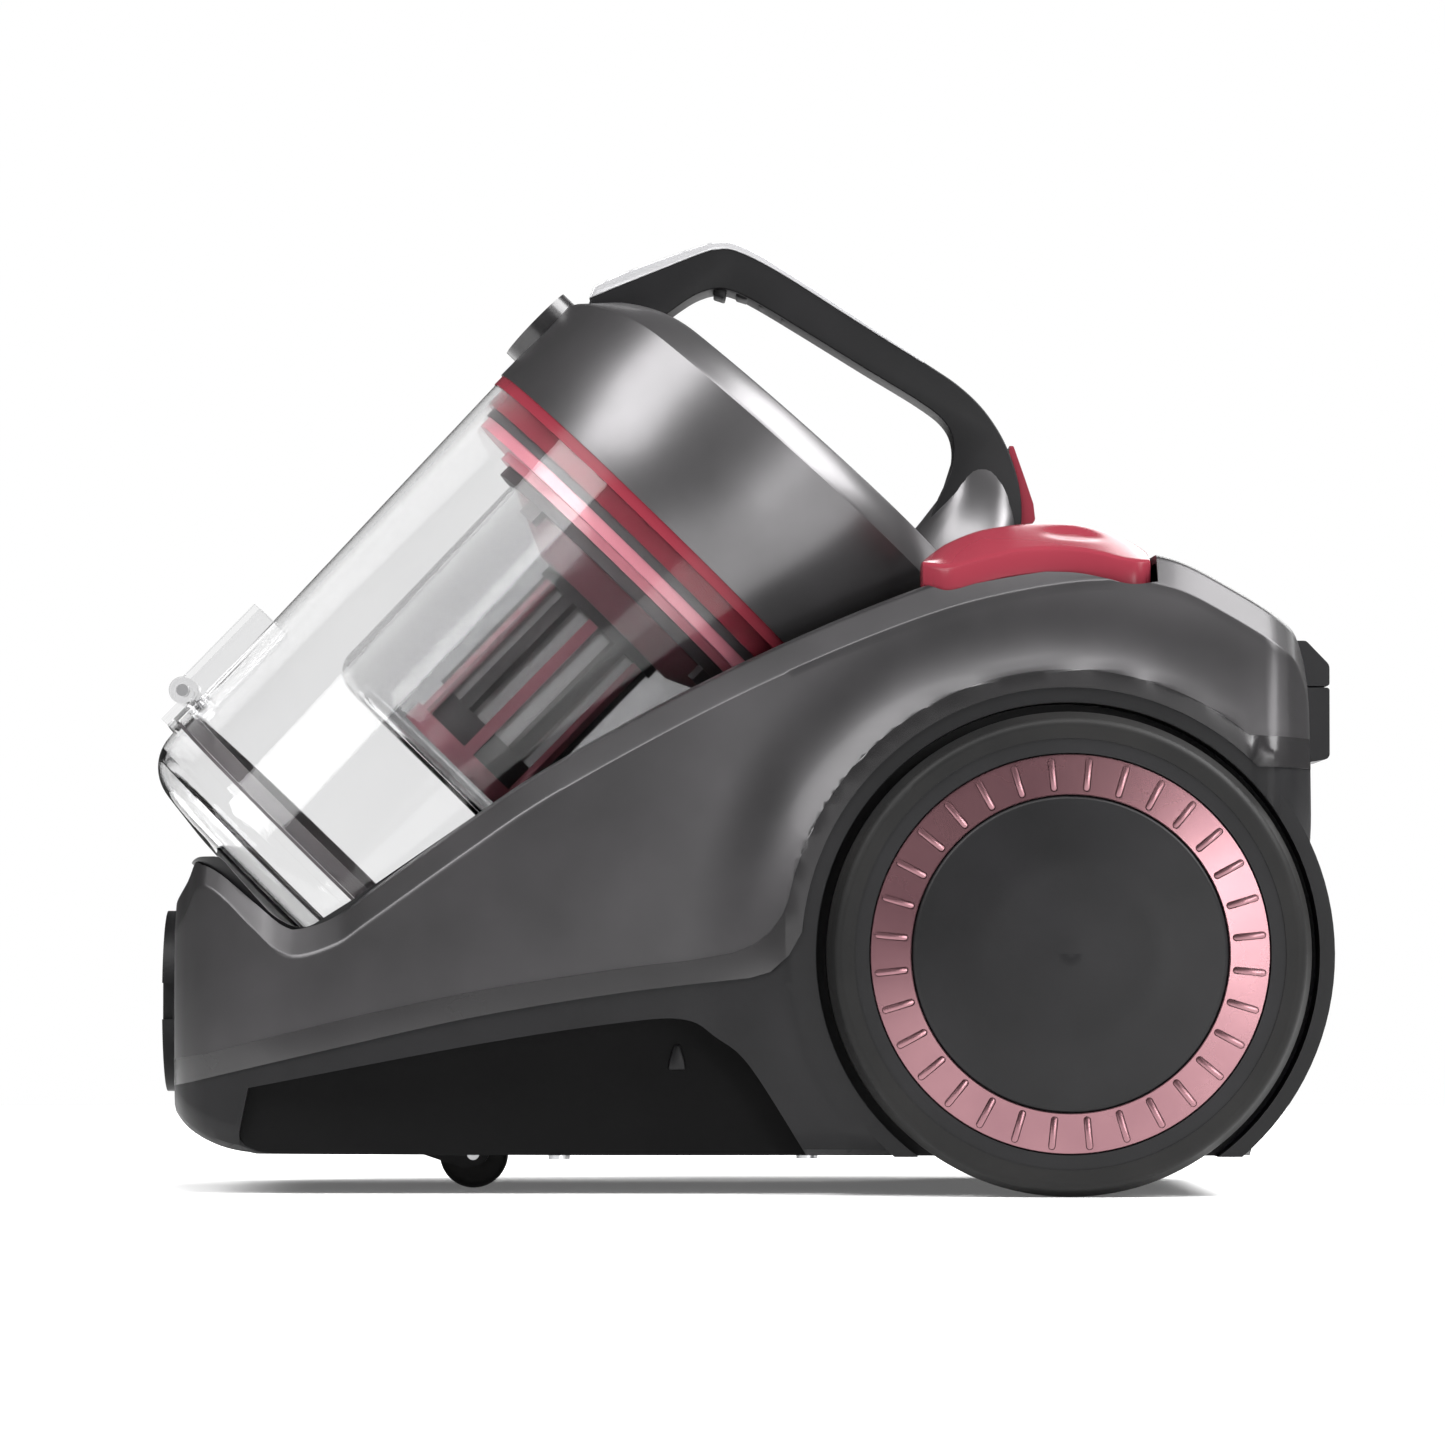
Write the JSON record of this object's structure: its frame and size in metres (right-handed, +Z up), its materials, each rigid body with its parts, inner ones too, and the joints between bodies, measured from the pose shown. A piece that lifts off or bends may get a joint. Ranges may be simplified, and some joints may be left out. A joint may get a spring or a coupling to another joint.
{
  "type": "canister vacuum cleaner",
  "caption": "Bagless canister vacuum cleaner with a tilted lift-out dust bin, two large rear wheels, a front caster, foot pedals and a hose inlet in its nose.",
  "frame": {"origin": "on the floor under the middle of the object's box", "axes": "+Z up, -X towards the hose inlet, +X towards the cord outlet, Y across"},
  "size_m": [0.3885, 0.266, 0.3143],
  "materials": {
    "board_green": "gloss",
    "body_black": "matte",
    "body_graphite": "satin",
    "clear_plastic": "clear",
    "filter_foam": "matte",
    "graphite_metal": "satin",
    "inner_plastic": "matte",
    "mesh_steel": "perforated",
    "motor_iron": "matte",
    "pale_metal": "satin",
    "pink_plastic": "satin",
    "red_tint": "translucent gloss",
    "ring_pink": "frosted",
    "seal_rubber": "matte",
    "steel": "brushed",
    "trim_graphite": "satin",
    "tyre_black": "matte"
  },
  "bodies": {
    "body": {"upper_housing": "body_graphite", "trim_band": "trim_graphite", "lower_housing": "body_black", "wheel_wells": "body_black", "bin_cradle": "body_black", "exhaust_grille": "body_black", "base_screws": "steel", "hose_collar": "body_black", "inlet_duct": "inner_plastic", "bin_port_seals": "seal_rubber", "intake_duct": "inner_plastic", "exhaust_filter": "filter_foam", "motor_housing": "inner_plastic", "motor_cover": "inner_plastic", "motor_frame": "inner_plastic", "motor_mounts": "seal_rubber", "stator": "motor_iron", "motor_bearings": "steel", "control_board": "board_green", "reel_bracket": "inner_plastic", "cord_outlet_housing": "body_black", "cord_outlet_cover": "body_black", "pedal_springs": "steel", "wheel_axles": "steel"},
    "power_pedal": {"pedal_left": "red_tint"},
    "rewind_pedal": {"pedal_right": "red_tint"},
    "motor_rotor": {"rotor": "steel", "impeller": "inner_plastic"},
    "cord_reel": {"reel_drum": "inner_plastic"},
    "wheel_left": {"wheel_rim_left": "body_black", "tyre_left": "tyre_black", "wheel_ring_left": "ring_pink"},
    "wheel_right": {"wheel_rim_right": "body_black", "tyre_right": "tyre_black", "wheel_ring_right": "ring_pink"},
    "caster_frame": {"caster_fork": "body_black", "caster_axle": "steel"},
    "caster_roller": {"caster_wheel": "tyre_black"},
    "bin": {"dust_cup": "clear_plastic", "hinge_pin": "steel", "cup_foot_ring": "seal_rubber", "bin_lid": "graphite_metal", "lid_base": "inner_plastic", "lid_filter": "filter_foam", "separator_plate": "red_tint", "separator_seal": "seal_rubber", "cyclone_plate": "pink_plastic", "clip_ring": "seal_rubber", "inner_cup": "clear_plastic", "shroud": "pink_plastic", "cage_mesh": "mesh_steel", "cage_frame": "seal_rubber", "cage_ribs": "pink_plastic", "handle": "body_black", "handle_shell": "pale_metal"},
    "bin_floor": {"bottom_lid": "clear_plastic", "bottom_seal": "seal_rubber"},
    "bin_latch": {"latch": "inner_plastic"},
    "bin_button": {"dump_button": "graphite_metal"},
    "bin_release": {"release_tab": "red_tint"}
  },
  "joints": [
    {"name": "wheel_left_spin", "type": "hinge", "parent": "body", "child": "wheel_left", "pos_m": [0.103, 0, 0.0772], "axis": [0, 1, 0], "continuous": true},
    {"name": "wheel_right_spin", "type": "hinge", "parent": "body", "child": "wheel_right", "pos_m": [0.103, 0, 0.0772], "axis": [0, 1, 0], "continuous": true},
    {"name": "caster_swivel", "type": "hinge", "parent": "body", "child": "caster_frame", "pos_m": [-0.112, 0, 0.0245], "axis": [0, 0, 1], "continuous": true},
    {"name": "caster_roll", "type": "hinge", "parent": "caster_frame", "child": "caster_roller", "pos_m": [-0.09, 0, 0.0113], "axis": [0, 1, 0], "continuous": true},
    {"name": "rotor_spin", "type": "hinge", "parent": "body", "child": "motor_rotor", "pos_m": [0.084, 0, 0.08], "axis": [0, 0, 1], "continuous": true},
    {"name": "reel_spin", "type": "hinge", "parent": "body", "child": "cord_reel", "pos_m": [0.1, 0.071, 0.098], "axis": [0, 1, 0], "continuous": true},
    {"name": "power_pedal_press", "type": "slide", "parent": "body", "child": "power_pedal", "axis": [0, 0, -1], "range_m": [0, 0.004], "stiffness_N_per_m": 900, "springref_m": -0.003, "deforming": ["pedal_springs"]},
    {"name": "rewind_pedal_press", "type": "slide", "parent": "body", "child": "rewind_pedal", "axis": [0, 0, -1], "range_m": [0, 0.004], "stiffness_N_per_m": 900, "springref_m": -0.003, "deforming": ["pedal_springs"]},
    {"name": "bin_lift", "type": "slide", "parent": "body", "child": "bin", "axis": [0.6997, 0, 0.7145], "range_m": [0, 0.3]},
    {"name": "bin_floor_open", "type": "hinge", "parent": "bin", "child": "bin_floor", "pos_m": [-0.18614, 0, 0.16492], "axis": [0, 1, 0], "range_deg": [0, 92]},
    {"name": "dump_button_press", "type": "slide", "parent": "bin", "child": "bin_button", "axis": [0.7145, 0, -0.6997], "range_m": [0, 0.003], "stiffness_N_per_m": 600, "springref_m": -0.002},
    {"name": "latch_pivot", "type": "hinge", "parent": "bin", "child": "bin_latch", "pos_m": [-0.06858, 0, 0.05399], "axis": [0, -1, 0], "range_deg": [0, 5.2]},
    {"name": "release_tab_press", "type": "slide", "parent": "bin", "child": "bin_release", "axis": [-1, 0, 0], "range_m": [0, 0.0025], "stiffness_N_per_m": 600, "springref_m": -0.002}
  ],
  "couplings": [
    {"joint": "bin_floor_open", "follows": "bin_lift", "rad_per_m": 5.2},
    {"joint": "latch_pivot", "follows": "dump_button_press", "rad_per_m": 29}
  ]
}
